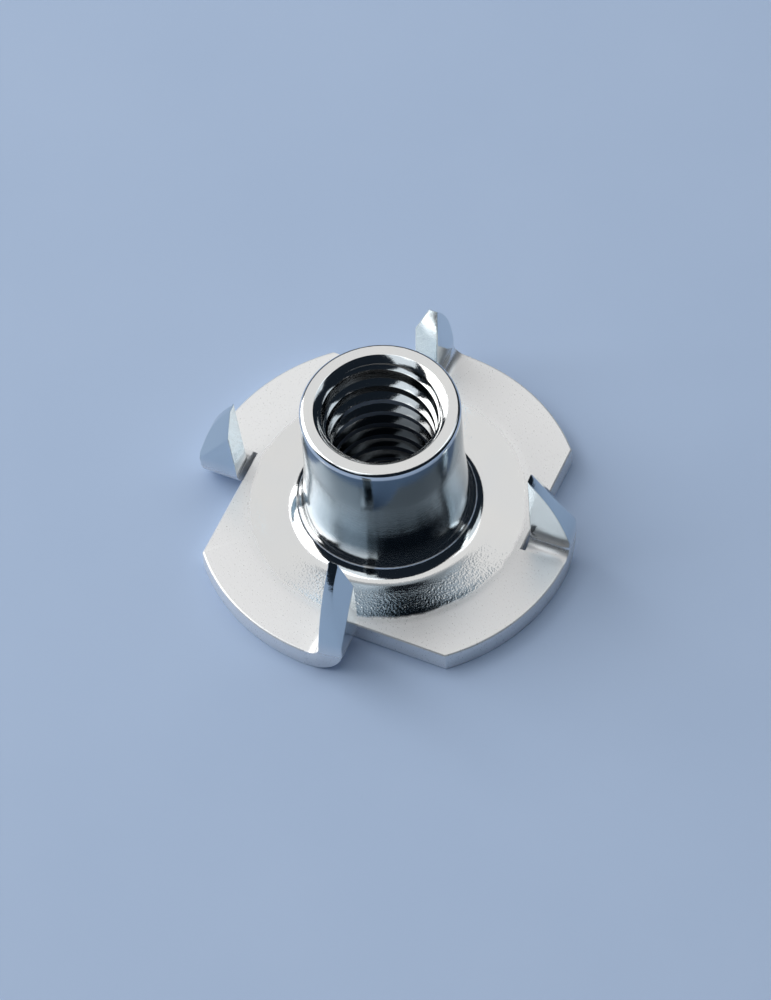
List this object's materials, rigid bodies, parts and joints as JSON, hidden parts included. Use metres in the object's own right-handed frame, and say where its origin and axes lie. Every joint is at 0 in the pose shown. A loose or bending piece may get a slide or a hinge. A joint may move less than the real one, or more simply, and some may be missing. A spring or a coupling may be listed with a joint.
{
  "type": "tee nut",
  "caption": "Pressed-steel tee nut: a threaded barrel drawn up from a round flange, with bent-up prongs at its rim that bite into wood.",
  "frame": {"origin": "on the barrel's axis, in the plane of the flange's underside", "axes": "+Z along the barrel's axis from the flange to the barrel's mouth; +X towards one of the prongs"},
  "size_m": [0.019, 0.019, 0.0091],
  "materials": {
    "zinc_steel": "bright zinc plating"
  },
  "bodies": {
    "root": {"tee_nut": "zinc_steel"}
  },
  "joints": []
}
